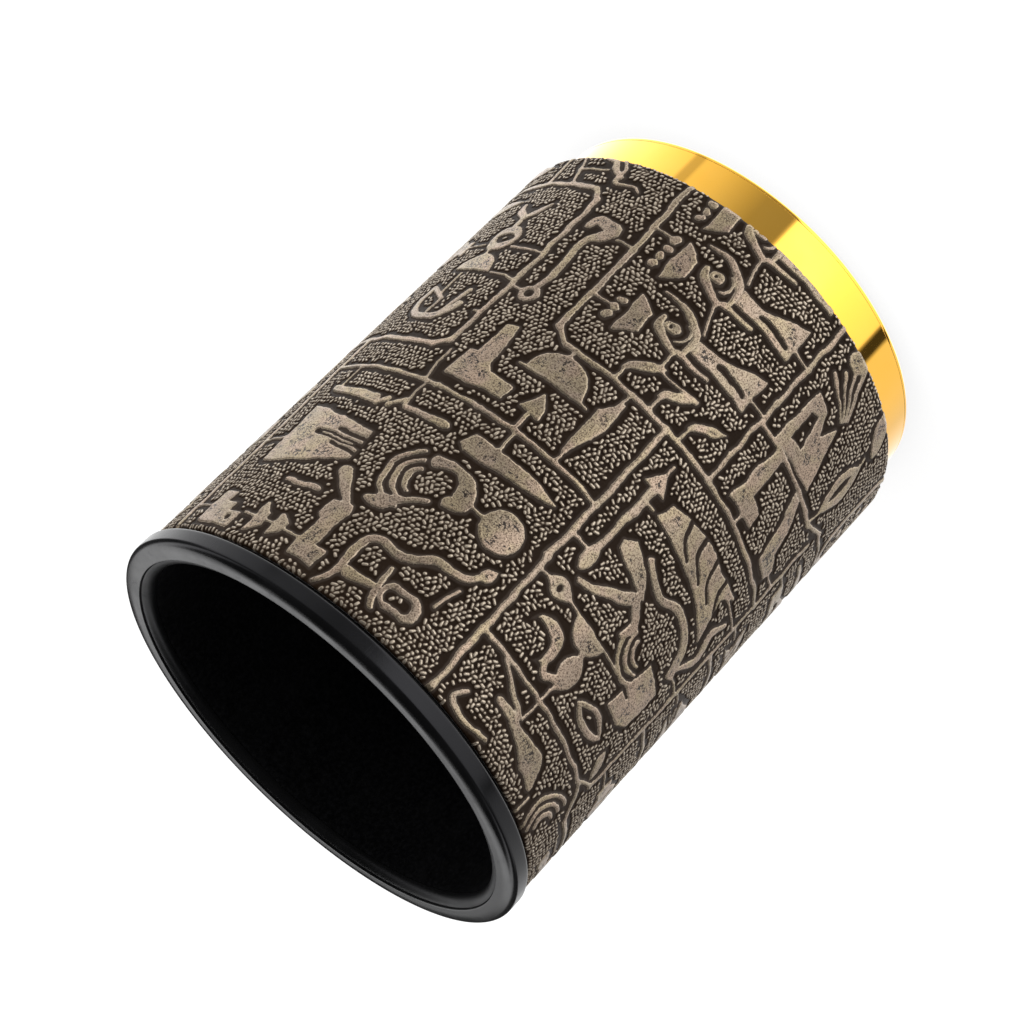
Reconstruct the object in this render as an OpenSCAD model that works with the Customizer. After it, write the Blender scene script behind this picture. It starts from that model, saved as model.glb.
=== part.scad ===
// Leather dice cup: a moulded plastic cup, lined with flannelette, wrapped in embossed
// leatherette, with a black bead at the mouth and a gold-plated cap for a base.
// Millimetres. The cup stands on its base, +Z up through the mouth, origin at the base centre.

/* [Cup] */
// Overall height, from the table to the face of the rim
cup_h = 100; // [80:1:120]
// Thickness of the cup's moulded wall
shell_t = 2.4; // [2:0.1:3]
// Thickness of the cup's moulded floor
floor_t = 2.5; // [2:0.1:4]

/* [Wrap] */
// Outside diameter of the leatherette
wrap_d = 74; // [70:0.5:80]
// Thickness of the leatherette, its embossing included
wrap_t = 1.2; // [0.8:0.1:1.5]

/* [Rim] */
// How far the rim stands proud of the leatherette all round
rim_proud = 0.5; // [0.3:0.1:1.5]
// Height of the rim bead
rim_h = 3.4; // [3:0.1:6]
// Width of the rim's face
rim_face_w = 3.3; // [3:0.1:4]
// Open groove between the rim and the top edge of the leatherette
rim_gap = 0.8; // [0.4:0.1:1.5]
// Depth of the moulded lip below the rim's face
lip_drop = 0.3; // [0.2:0.1:1.5]

/* [Base] */
// How far the base cap stands in from the leatherette all round
base_inset = 2.4; // [1.8:0.1:3]
// Height of the leatherette's lower edge above the table
base_h = 8.5; // [7:0.5:14]
// Thickness of the felt pad under the base
pad_t = 1.2; // [1:0.1:1.5]
// How far the felt pad stands below the base cap
pad_proud = 0.4; // [0.2:0.1:0.6]

/* [Lining] */
// Thickness of the flannelette lining
lining_t = 0.8; // [0.5:0.1:1]
// Thickness of the foam pad under the lining of the floor
foam_t = 3; // [2:0.5:5]

/* [Hidden] */
$fn = 128;

// Clearance where a piece slides into another
fit = 0.1;
// Overrun of a cutting shape past the face that it cuts
cut = 1;

// Radii, from the outside inwards
wrap_r = wrap_d / 2;
shell_r = wrap_r - wrap_t;
bore_r = shell_r - shell_t;
lined_r = bore_r - lining_t;
rim_r = wrap_r + rim_proud;
rim_bore_r = rim_r - rim_face_w;

// Rim and lip: the lip is the top of the shell, and stands inside the rim ring
rim_edge_r = 1.2;
rim_inner_edge_r = 0.2;
rim_lower_edge_r = 0.4;
rim_z = cup_h - rim_h;
lip_z = cup_h - lip_drop;
lip_t = 1.6;
lip_edge_r = 1.3;
wrap_top_z = rim_z - rim_gap;

// Base cap, and the spigot of the shell that plugs into it
base_r = wrap_r - base_inset;
base_wall_t = 2;
base_floor_t = 1.8;
base_edge_r = 0.7;
base_floor_z = pad_t + base_floor_t;
base_bore_r = base_r - base_wall_t;
spigot_r = base_bore_r - fit;
spigot_t = 2;
pad_recess_r = base_r - 4;

// Floor, pad and lining stack up from the underside of the shell
floor_z = base_h + floor_t;
foam_top_z = floor_z + foam_t;
lining_floor_z = foam_top_z + lining_t;

// A ring of rectangular section, from radius r_in to r_out and from z_low to z_high
module ring(r_in, r_out, z_low, z_high) {
    rotate_extrude()
        translate([r_in, z_low])
            square([r_out - r_in, z_high - z_low]);
}

// The corner of a square of side r that lies outside a quarter circle of radius r.
// The circle's centre is at the origin, and the corner lies towards (x_side, y_side).
module corner_waste(r, x_side, y_side) {
    difference() {
        translate([x_side > 0 ? 0 : -r - cut, y_side > 0 ? 0 : -r - cut])
            square(r + cut);
        circle(r);
    }
}

// Section of the rim bead: a flat-faced band with rounded edges, the lower one tighter
module rim_section() {
    difference() {
        translate([rim_bore_r, rim_z])
            square([rim_face_w, rim_h]);
        translate([rim_r - rim_edge_r, cup_h - rim_edge_r])
            corner_waste(rim_edge_r, 1, 1);
        translate([rim_r - rim_lower_edge_r, rim_z + rim_lower_edge_r])
            corner_waste(rim_lower_edge_r, 1, -1);
        translate([rim_bore_r + rim_inner_edge_r, cup_h - rim_inner_edge_r])
            corner_waste(rim_inner_edge_r, -1, 1);
    }
}

// Section of the shell: spigot, floor, wall, and the rounded lip that stands inside the rim
module shell_section() {
    spigot_z = base_floor_z + fit;
    neck_r = rim_bore_r - fit;
    difference() {
        union() {
            translate([spigot_r - spigot_t, spigot_z])
                square([spigot_t, base_h + floor_t - spigot_z]);
            translate([0, base_h])
                square([shell_r, floor_t]);
            translate([bore_r, base_h])
                square([shell_t, rim_z - base_h]);
            translate([lined_r, lip_z - lip_t])
                square([neck_r - lined_r, lip_t]);
            translate([bore_r, rim_z - lip_t])
                square([neck_r - bore_r, lip_z - rim_z + lip_t]);
        }
        translate([lined_r + lip_edge_r, lip_z - lip_edge_r])
            corner_waste(lip_edge_r, -1, 1);
    }
}

// Section of the base cap: a shallow tray with a recess below for the felt
module base_cap_section() {
    difference() {
        translate([0, pad_proud])
            square([base_r, base_h - pad_proud]);
        translate([-cut, base_floor_z])
            square([base_bore_r + cut, base_h]);
        translate([-cut, pad_proud - cut])
            square([pad_recess_r + cut, pad_t - pad_proud + cut]);
        translate([base_r - base_edge_r, pad_proud + base_edge_r])
            corner_waste(base_edge_r, 1, -1);
    }
}

// Moulded plastic cup
module cup_shell() {
    color("#1c1b1c")
        rotate_extrude()
            shell_section();
}

// Black bead round the mouth, seated on the top of the shell's wall
module rim_ring() {
    color("#3a3a3c")
        rotate_extrude()
            rim_section();
}

// Embossed leatherette, glued round the shell with a butt joint
module leatherette_wrap() {
    color("#6e6253")
        ring(shell_r, wrap_r, base_h, wrap_top_z);
}

// Flannelette on the inside of the wall, tucked under the lip
module wall_lining() {
    color("#0c0c0e")
        ring(lined_r, bore_r - fit / 2, lining_floor_z + fit / 2, lip_z - lip_t - fit / 2);
}

// Flannelette on the floor
module floor_lining() {
    color("#101012")
        translate([0, 0, foam_top_z])
            cylinder(r = bore_r - fit, h = lining_t);
}

// Foam pad that quietens the dice, under the floor's lining
module floor_pad() {
    color("#2b2b2e")
        translate([0, 0, floor_z])
            cylinder(r = bore_r - fit, h = foam_t);
}

// Gold-plated cap that the shell's spigot plugs into
module base_cap() {
    color("#e3b23a")
        rotate_extrude()
            base_cap_section();
}

// Felt pad that the cup stands on
module base_pad() {
    color("#17171a")
        cylinder(r = pad_recess_r - fit, h = pad_t);
}

cup_shell();
rim_ring();
leatherette_wrap();
wall_lining();
floor_lining();
floor_pad();
base_cap();
base_pad();
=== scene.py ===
import math

import bpy
import numpy as np
from mathutils import Matrix, Vector


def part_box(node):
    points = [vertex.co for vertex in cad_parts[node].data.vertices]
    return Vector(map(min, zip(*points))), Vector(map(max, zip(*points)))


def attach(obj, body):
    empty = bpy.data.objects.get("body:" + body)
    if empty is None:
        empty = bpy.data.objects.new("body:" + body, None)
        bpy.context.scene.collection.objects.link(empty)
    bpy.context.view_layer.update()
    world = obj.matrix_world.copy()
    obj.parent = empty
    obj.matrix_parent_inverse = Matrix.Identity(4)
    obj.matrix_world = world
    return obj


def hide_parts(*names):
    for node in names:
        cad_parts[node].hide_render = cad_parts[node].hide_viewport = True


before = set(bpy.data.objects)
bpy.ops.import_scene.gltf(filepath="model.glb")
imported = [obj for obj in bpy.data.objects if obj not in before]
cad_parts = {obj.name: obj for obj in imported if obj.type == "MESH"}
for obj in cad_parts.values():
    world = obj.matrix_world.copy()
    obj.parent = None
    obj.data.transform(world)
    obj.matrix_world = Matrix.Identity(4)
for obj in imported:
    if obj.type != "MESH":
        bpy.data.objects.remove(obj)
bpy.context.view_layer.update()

# The leather dice cup: one detailed piece for each node of the CAD model, and the stage round it.
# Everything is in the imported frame, in metres, unless a comment says millimetres.
MM = 0.001


# --- Sizes, in metres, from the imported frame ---
def extent(node):
    """A node's outer radius, and the heights of its foot and its top."""
    low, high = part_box(node)
    return high.x, low.z, high.z


WRAP_R, WRAP_LOW_Z, WRAP_TOP_Z = extent("leatherette_wrap")
SHELL_R, SHELL_LOW_Z, LIP_Z = extent("cup_shell")
RIM_R, RIM_LOW_Z, RIM_TOP_Z = extent("rim_ring")
BASE_R, BASE_LOW_Z, BASE_TOP_Z = extent("base_cap")
LINING_R, LINING_LOW_Z, LINING_TOP_Z = extent("wall_lining")
FLOOR_R, FLOOR_LOW_Z, FLOOR_TOP_Z = extent("floor_lining")
_, FOAM_LOW_Z, FOAM_TOP_Z = extent("floor_pad")
PAD_R, _, PAD_TOP_Z = extent("base_pad")

RIM_FACE_W = 3.3 * MM
LINING_T = 0.8 * MM
SHEET_CLEARANCE = 0.02 * MM

# Turned pieces: how many faces go round, the bend in degrees that counts as a corner, and the radius
# of the pinhole on the axis that keeps the faces of a floor four-sided
SEGMENTS = 384
CORNER = 18
HUB_R = 0.2 * MM

# Embossed sheet: the spacing of its points, the height of its relief, and its butt joint and cut edges
PITCH = 0.165 * MM
RELIEF = 0.26 * MM
SEAM_W = 0.3 * MM
SEAM_DEPTH = 0.45 * MM
EDGE_ROLL = 0.25 * MM
EDGE_ROLL_W = 0.3 * MM
UNEVENNESS = 0.012 * MM

# The pattern on it, in millimetres: beads, the bare band round each picture, and the corners' fillets
BEAD_SPACING = 0.84
BEAD_ROW_SPACING = 0.87 * BEAD_SPACING
BEAD_R = 0.26
BEAD_HALF_LENGTH = (0.04, 0.34)
BEAD_REACH = 1.0
BEAD_GAP = 0.04
BEAD_JITTER = 0.2
BEAD_GROUPS = 4
GRAIN_HALO = 0.82
FILLET = 0.5
TIE_W = 0.45
PICTURE_REACH = 21
LINE_REACH = 3


# --- Meshes ---
def new_piece(name, points, faces, material):
    """A smooth-shaded object made of four-sided faces."""
    mesh = bpy.data.meshes.new(name)
    mesh.vertices.add(len(points))
    mesh.vertices.foreach_set("co", np.asarray(points, np.float32).ravel())
    mesh.loops.add(faces.size)
    mesh.loops.foreach_set("vertex_index", faces.astype(np.int32).ravel())
    mesh.polygons.add(len(faces))
    mesh.polygons.foreach_set("loop_start", np.arange(0, faces.size, 4, dtype=np.int32))
    mesh.update(calc_edges=True)
    mesh.validate()
    mesh.polygons.foreach_set("use_smooth", np.ones(len(mesh.polygons), bool))
    mesh.materials.append(material)
    piece = bpy.data.objects.new(name, mesh)
    bpy.context.scene.collection.objects.link(piece)
    return piece


def loop_faces(rows, columns):
    """Quads over a grid of points that closes on itself both round the columns and along the rows."""
    i, j = np.meshgrid(np.arange(rows), np.arange(columns), indexing="ij")
    here, below, right = i * columns, (i + 1) % rows * columns, (j + 1) % columns
    return np.stack([here + j, here + right, below + right, below + j], -1).reshape(-1, 4)


def turned(profile, segments):
    """A profile of (radius, height) turned about the Z axis: one row of points for each profile point."""
    profile = np.asarray(profile, float)
    angle = np.linspace(0, 2 * math.pi, segments, endpoint=False)
    r, z = profile[:, :1], profile[:, 1:]
    return np.stack([r * np.cos(angle), r * np.sin(angle), z + 0 * angle], -1)


def revolve(name, profile, material):
    """A ring or tray turned from a closed profile, with its corners left sharp."""
    points = turned(profile, SEGMENTS)
    piece = new_piece(name, points.reshape(-1, 3), loop_faces(len(profile), SEGMENTS), material)
    piece.data.set_sharp_from_angle(angle=math.radians(CORNER))
    return piece


def arc(centre, radius, start, end, steps):
    """Points on an arc from start to end, in degrees."""
    angle = np.radians(np.linspace(start, end, steps + 1))
    return [(centre[0] + radius * math.cos(a), centre[1] + radius * math.sin(a)) for a in angle]


def spaced(profile, step):
    """A closed profile again, with extra points so that none are further apart than step."""
    out = []
    for a, b in zip(profile, profile[1:] + profile[:1]):
        n = max(1, math.ceil(math.dist(a, b) / step))
        out += [(a[0] + (b[0] - a[0]) * k / n, a[1] + (b[1] - a[1]) * k / n) for k in range(n)]
    return out


# --- Noise ---
def band_noise(shape, pitch, wavelength, spread, seed):
    """Smooth noise that repeats at the edges, of about one wavelength, with a standard deviation of 1."""
    rng = np.random.default_rng(seed)
    spectrum = np.fft.rfft2(rng.standard_normal(shape))
    fy = np.fft.fftfreq(shape[0], pitch)[:, None]
    fx = np.fft.rfftfreq(shape[1], pitch)[None, :]
    f = np.hypot(fx, fy)
    spectrum *= np.exp(-(((f - 1 / wavelength) / (spread / wavelength)) ** 2))
    field = np.fft.irfft2(spectrum, s=shape)
    return field / field.std()


def smoothstep(x, low, high):
    """0 below low, 1 above high, and a smooth change between."""
    t = np.clip((x - low) / (high - low), 0, 1)
    return t * t * (3 - 2 * t)


# --- Outlines of the embossed pictures ---
# Each is a function of x and y in millimetres that gives the distance to its edge, below 0
# inside. x runs from the rim to the base and y round the cup.
def disc(r):
    """A disc about the origin."""
    return lambda x, y: np.hypot(x, y) - r


def stroke(points, *widths):
    """A line through points, as wide as widths say at its ends, or at each point."""
    halves = np.interp(np.linspace(0, 1, len(points)), np.linspace(0, 1, len(widths)), widths) / 2

    def distance(x, y):
        best = np.full(x.shape, np.inf)
        for (ax, ay), (bx, by), ra, rb in zip(points, points[1:], halves, halves[1:]):
            dx, dy = bx - ax, by - ay
            t = np.clip(((x - ax) * dx + (y - ay) * dy) / (dx * dx + dy * dy), 0, 1)
            best = np.minimum(best, np.hypot(x - ax - t * dx, y - ay - t * dy) - (ra + (rb - ra) * t))
        return best

    return distance


def curve(points, *widths, steps=6):
    """A stroke along the smooth curve through points."""
    p = np.array([points[0], *points, points[-1]], float)
    out = []
    for a, b, c, d in zip(p, p[1:], p[2:], p[3:]):
        for t in np.arange(steps) / steps:
            out.append(0.5 * (2 * b + (c - a) * t + (2 * a - 5 * b + 4 * c - d) * t**2
                              + (3 * b - a - 3 * c + d) * t**3))
    out.append(p[-1])
    return stroke([tuple(q) for q in out], *widths)


def patch(*corners, soft=0.25):
    """A polygon with corners rounded by soft."""

    def distance(x, y):
        inside = np.zeros(x.shape, bool)
        best = np.full(x.shape, np.inf)
        for (ax, ay), (bx, by) in zip(corners, corners[1:] + corners[:1]):
            dx, dy = bx - ax, by - ay
            t = np.clip(((x - ax) * dx + (y - ay) * dy) / (dx * dx + dy * dy), 0, 1)
            best = np.minimum(best, np.hypot(x - ax - t * dx, y - ay - t * dy))
            if dy:
                crosses = ((ay > y) != (by > y)) & (x < ax + dx * (y - ay) / dy)
                inside ^= crosses
        return np.where(inside, -best, best) - soft

    return distance


def lens(length, width):
    """A leaf with two pointed ends on the x axis."""
    h, w = length / 2, width / 2
    r = (h * h + w * w) / (2 * w)
    return lambda x, y: np.maximum(np.hypot(x, y - (r - w)) - r, np.hypot(x, y + (r - w)) - r)


def bow(radius, start, end, *widths):
    """A stroke along an arc about the origin, from start to end in degrees."""
    return stroke(arc((0, 0), radius, start, end, 14), *widths)


def moved(shape, dx, dy, turn=0.0, size=1.0):
    """A shape turned by some degrees, scaled and put at (dx, dy)."""
    c, s = math.cos(math.radians(turn)), math.sin(math.radians(turn))

    def distance(x, y):
        u, v = (x - dx) / size, (y - dy) / size
        return shape(c * u + s * v, c * v - s * u) * size

    return distance


def joined(*shapes):
    """All the shapes as one."""
    return lambda x, y: np.minimum.reduce([s(x, y) for s in shapes])


def pierced(shape, *holes):
    """A shape with holes in it."""
    return lambda x, y: np.maximum(shape(x, y), -np.minimum.reduce([h(x, y) for h in holes]))


def half_disc(r):
    """The half of a disc on the side of positive x."""
    return lambda x, y: np.maximum(np.hypot(x, y) - r, -x)


def steps_block():
    block = patch((-3, -3.5), (-3, 3.5), (3, 3.5), (3, 1), (1.2, 1), (1.2, -1), (-0.4, -1), (-0.4, -3.5))
    return pierced(block, moved(disc(0.5), -1.4, -2))


def bowl(width, depth):
    rim = width / 2
    return patch((-rim, depth / 2), (rim, depth / 2), (rim * 0.45, -depth / 2), (-rim * 0.45, -depth / 2))


def seat():
    return patch((-5.5, -2.6), (-5.5, 1.6), (1.5, 1.6), (2.2, 2.4), (4.6, 2.2), (5.2, -0.6), (3.8, -1),
                 (-2.6, -0.6), (-2.8, -2.8))


def serpent():
    body = curve([(-8, 8.5), (-5, 7.2), (0, 7.4), (2.6, 6), (3, 1), (5.4, -2.2), (6.4, -6.4), (8.6, -8.4)],
                 0.7, 1.3, 1.3, 0.9)
    return joined(body, moved(lens(3.4, 1.8), 9, -8.6, -30))


def loop_staff():
    ring = pierced(stroke([(0, -5), (0, -2.4)], 4.3), stroke([(0, -4.6), (0, -2.2)], 2.3))
    arms = curve([(-3, -0.6), (-1, 0.2), (3.6, 0.2)], 0.9, 1.1, 0.6)
    return joined(ring, stroke([(0, -0.4), (-0.5, 5)], 0.9, 2.3), arms)


def reed_basket():
    body = patch((-6, 7), (6, 7.4), (4.6, -2), (3.9, -7), (-1.4, -7.4), (-3.8, -2))
    slits = [stroke([(-0.6 + 1.6 * k, -8.5), (0.2 + 1.2 * k, top)], width)
             for k, (top, width) in enumerate(((-2.4, 0.6), (1.8, 1.1), (-1.8, 0.7)))]
    return joined(pierced(body, *slits), stroke([(1, -6), (1.4, 0.4)], 0.35))


def rainbow():
    return joined(*[bow(r, 15, 150 + 6 * k, 0.7, 0.95, 0.6) for k, r in enumerate((2.2, 3.7, 5.3))])


def gourd():
    return curve([(1.6, 4), (2.4, 1.4), (1.6, -1.6), (-1.4, -3), (-2.6, -1.8)], 2.2, 1.4, 3.2, 2.2)


def blade(length, width):
    """A long pointed leaf with a shoulder near one end."""
    w = width / 2
    return patch((-length / 2, 0), (-length * 0.2, w * 0.8), (length * 0.42, w), (length / 2, w * 0.3),
                 (length * 0.42, -w), (-length * 0.1, -w * 0.9), soft=0.15)


def mallet():
    return patch((-4, 3.4), (1, 3.2), (1.4, 1.8), (7.6, 1.4), (7.8, -0.2), (0.8, -0.8), (-0.8, -2),
                 (-1, -6.4), (-3.4, -6.4))


def dart():
    return joined(patch((-1.4, 2), (2.6, 0), (-1.4, -2)), stroke([(-4.4, 0), (-1, 0)], 0.6))


def hull(length):
    h = length / 2
    return patch((-h, 0.9), (-h * 0.3, 1.2), (h * 0.5, 1.4), (h, -0.8), (h * 0.2, -1.2), (-h * 0.3, -0.6),
                 soft=0.2)


def lyre():
    """A round frame on a forked foot."""
    ring = pierced(disc(3), moved(lens(4, 2.2), 0, 0, 90))
    left_foot = curve([(5.2, 0.6), (6.6, 2.8), (8.4, 3.4)], 1, 1.5, 0.7)
    right_foot = curve([(5.2, 0.4), (6.8, -1.2), (8.6, -2.6)], 1, 1.4, 0.7)
    return joined(ring, stroke([(2.6, 0.4), (5.4, 0.6)], 1.2, 0.8), left_foot, right_foot)


def ladle():
    ring = pierced(disc(1.7), disc(0.75))
    route = [(1.4, 0), (6, -0.6), (12, 0), (14.4, -1.8), (16.4, -2.6), (17, 0.6), (15.6, 1.6)]
    return joined(ring, curve(route, 1, 1.2, 2.6, 1.4))


def tent():
    """A splayed panel with one long slit, like a hung cloth."""
    body = patch((-2.2, 6), (0.4, 6.2), (0.6, 2.4), (4.4, -5.6), (-2.2, -5.8), (-2, 0), soft=0.15)
    return pierced(body, curve([(-0.5, 1.6), (-0.1, 0), (-0.7, -4.4)], 0.8, 1.1, 0.7))


def bearer():
    """A robed figure that holds one arm up: wig, small ringed face, collar, arms and splayed robe."""
    face = pierced(stroke([(0.1, 2.9), (-0.1, 3.9)], 1.9, 1.7), moved(disc(0.28), 0, 3.6))
    wig = curve([(-3.2, 0.6), (-2.4, 3), (-1.2, 5), (0.6, 5.6)], 0.9, 1.7, 0.8)
    collar = moved(bow(1.9, 205, 335, 0.45), 0.2, 2.4)
    raised_arm = curve([(-2.6, -0.6), (0.8, -0.5), (3, 1.6), (4.2, 4.2), (4, 7.6)], 0.7, 1.5, 1.3, 0.5)
    lowered_arm = curve([(-2.8, 0), (-2.7, -2.6), (-2.4, -5.8)], 1.1, 0.7)
    return joined(wig, face, collar, raised_arm, lowered_arm, moved(tent(), 1, -7.4))


def laden_bowl(tokens):
    """A dish with a row of small things above it."""
    token = stroke([(-0.2, 0.2), (0.2, -0.2)], 1.3, 1.1)
    row = [moved(token, -2.4 + 1.7 * k, 2.2, 70 * k) for k in range(tokens)]
    dish = patch((-3.8, 0.8), (3.6, 1), (2, -1.8), (-1.6, -2), soft=0.2)
    return joined(moved(pierced(dish, stroke([(-1.6, 1.6), (1.4, 1.6)], 0.8)), 0, -0.6), *row)


def frond():
    return patch((-2.3, 2), (-1, 1.8), (1.2, -0.8), (1.9, -2.9), (0, -1.6), (-1.2, 0.5), soft=0.12)


def plume():
    body = patch((-1.2, 11), (1.6, 10.4), (3.4, 2), (3.2, -4), (4, -10), (1.4, -7.4), (-4.6, -10.4),
                 (-2.6, -3), (-2, 4))
    slit = curve([(3.6, 7), (0.4, 5.6), (-1.4, 2.6)], 0.9, 0.5)
    return pierced(body, *[moved(slit, 0, -4.2 * k) for k in range(4)])


def spear():
    shaft = stroke([(-6, 0), (9, -0.2)], 1.2, 1.4)
    head = joined(patch((8, 1.6), (11, 0), (8, -1.8)), stroke([(10, 0), (13, -0.1)], 0.5))
    return joined(moved(lens(6, 2.6), -8, 0), shaft, head)


def zigzag():
    return stroke([(-3, 6), (-0.6, 1.4), (2.6, -2.4), (0, -5.6), (-2.4, -4.8)], 1, 1.6, 2, 1.3, 0.9)


def duck():
    neck = curve([(-2.4, 1), (-3.6, 3.2), (-2, 4.6)], 1.4, 1.2)
    tail = stroke([(2.6, 0), (5.4, 1.6)], 1.4, 0.4)
    return joined(lens(7, 4.2), neck, moved(lens(2.6, 1.2), -0.8, 4.8), tail)


def moon(r):
    return pierced(disc(r), moved(disc(r * 0.95), r * 0.62, r * 0.2))


def eye_ring():
    return pierced(moved(lens(9.6, 4.2), 0, 0, 90), moved(lens(7, 2), 0.2, 0, 90))


def stool():
    body = patch((-4.6, 3), (4.6, 2.4), (4.4, -3.2), (-2.2, -3.6), (-4, -1.4))
    return pierced(body, stroke([(-1, 3.5), (-1, 1.4)], 0.6))


def drumstick():
    return curve([(-1.4, 8), (-0.6, 3), (0.4, -2.4), (-0.4, -5.8)], 1.3, 1.7, 4.2, 1.2)


def hook():
    return curve([(1.4, 3.2), (-0.6, 4), (-1.8, 1.6), (-0.8, -3.6)], 0.7, 1, 0.6)


def hourglass():
    body = patch((-6, 6), (4.6, 5.6), (4, 2.6), (0.6, 0.4), (4.2, -1.4), (-0.4, -3.2), (-4.8, -5.2))
    return pierced(body, patch((-3.6, 4), (1.8, 4.2), (2.4, 3), (-3, 1.4), soft=0.1))


def bracket():
    return patch((-5, 3), (5.6, 2.4), (5.6, 0.6), (-1.8, 0.4), (-2.4, -3), (-4.4, -3.2))


def rays():
    return joined(*[stroke([(-2.2 + 0.5 * k, -3.6), (-3 + 2.1 * k, 3.6)], 0.5, 0.8) for k in range(4)])


def swoosh():
    return patch((-6.4, -5), (-6, 0), (-1, 1.6), (6, 5), (6, 3), (1.4, -0.8), (-3, -2), (-3.8, -5.2))


def harp():
    sides = [bow(5.4, 100, 250, 1.2, 1.8), stroke([(-1.6, 5.2), (1.8, 4.6), (-1, 0)], 1.2, 0.9)]
    strings = [stroke([(-5, 0), (-1, 0)], 0.6), stroke([(-4.6, -2.6), (1.6, -4.6)], 0.6, 1.2)]
    return joined(*sides, *strings)


def oval_seal():
    axis = [(-4.6, 0), (4.6, 0)]
    dots = [moved(disc(0.85), -4 + 2.7 * k, 1.2 * (-1) ** k) for k in range(4)]
    return joined(pierced(stroke(axis, 9.6), stroke(axis, 7.2)), *dots)


def jar():
    body = patch((-1.6, 5), (1.8, 5), (1.2, 3.2), (3.2, 0.8), (2.2, -4.4), (-2, -4.6), (-3.2, 0.4),
                 (-1.2, 3))
    return pierced(body, curve([(-1.8, 0.6), (0, 0), (1.9, 0.8)], 0.6))


# The raised lines that part the panels, each with its width, and the thin ties to the pictures
RAILS = [
    (0.95, [(-1, 45.4), (20, 45.8), (36, 47.2), (42.6, 47)]),
    (0.75, [(36, 47), (36.4, 24), (36.8, -5.6)]),
    (0.95, [(-1, -6.4), (26, -5.6), (52.8, -5.2)]),
    (1.0, [(42.6, 59), (42.8, 31), (44.6, 28.7), (60, 28.4), (77.6, 28.4), (80.2, 30.8), (80.4, 59)]),
    (0.85, [(52.8, -41), (53, -15), (52.6, 13.6), (54.4, 16.6), (72, 17), (89, 17.8)]),
    (0.8, [(53, -14.8), (70, -14.6), (89, -14.2)]),
    (0.75, [(11.6, -6), (11.8, -36), (13.8, -40.2), (32, -40.8), (52.8, -40.6), (66, -40.2)]),
    (0.7, [(80.6, 42), (89, 43)]),
    (0.75, [(66, -15), (66.4, -36), (69, -40.8), (70, -59)]),
    (0.8, [(26, -41), (26.4, -59)]),
    (0.8, [(42, -41), (42.4, -59)]),
    (0.8, [(11.8, -37), (8, -42), (8.2, -59)]),
    (0.9, [(-1, 58.6), (20, 58.2), (42.6, 57.6), (62, 58.4), (89, 58)]),
]
TIES = [
    [(4.8, 45.4), (4.8, 41)], [(4.8, 33), (4.6, 18)], [(19, 45.8), (20, 41)], [(31, 40), (36, 40.4)],
    [(31, 26), (36.2, 26)], [(36.4, 27), (43, 27.4)], [(23.4, 8), (23.4, 4)], [(32, 9.6), (36.6, 10)],
    [(36.6, 10.6), (41, 10.4)], [(36.8, 3), (41, 2.6)], [(50, 2), (52.8, 1.6)], [(46, 17), (46.4, 5)],
    [(49, 11.6), (52.6, 12)], [(57.6, 28.4), (57.2, 25.4)], [(58.6, 28.6), (58.8, 34)],
    [(65, 28.6), (65, 35)], [(53, 40), (58, 40)], [(62, 39), (64, 39)], [(51, 30), (51, 28.6)],
    [(72.4, 17), (72.4, 20)], [(53, 5.2), (56, 5.2)], [(53, -1.4), (56, -1.4)], [(53, -7.6), (56.4, -7.6)],
    [(58.6, 1.8), (59.2, -5.8)], [(59, 1.6), (62.6, 1.6)], [(66.6, -11), (66.6, -14.6)],
    [(77.6, -10.4), (77.6, -14.4)], [(62.4, 13), (62.2, 16.8)], [(77.4, 14), (77.6, 17.2)],
    [(68, 0.4), (73.4, 2.4)], [(79, 0.8), (84, 2.2)], [(24, -5.8), (24, -8)], [(24.2, -12), (24.2, -26)],
    [(31.4, -5.6), (31.4, -8.4)], [(42.8, -10.6), (43, -12)], [(11.8, -19.6), (15, -19.6)],
    [(8, -19.4), (11.6, -19.4)], [(33, -36), (33.4, -40.6)], [(47, -31), (47.4, -40.4)],
    [(53, -23), (56, -23)], [(56.4, -37), (56.4, -40.4)], [(66.2, -35.4), (70, -35.6)],
    [(78, -35.6), (81, -35)], [(80.4, 36), (84, 37.6), (84.4, 32)], [(84, 37.6), (87, 39)],
    [(65, 42), (65, 47)], [(20, 58), (20, 54)], [(13, 0), (8.6, 0.8)], [(34.6, 52), (42.6, 52)],
    [(17, -41), (17, -45)], [(34, -41), (34, -44)], [(48, -41), (48, -44)], [(59.6, -40.6), (59.6, -44)],
    [(0, -30), (3, -30)],
]

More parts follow.
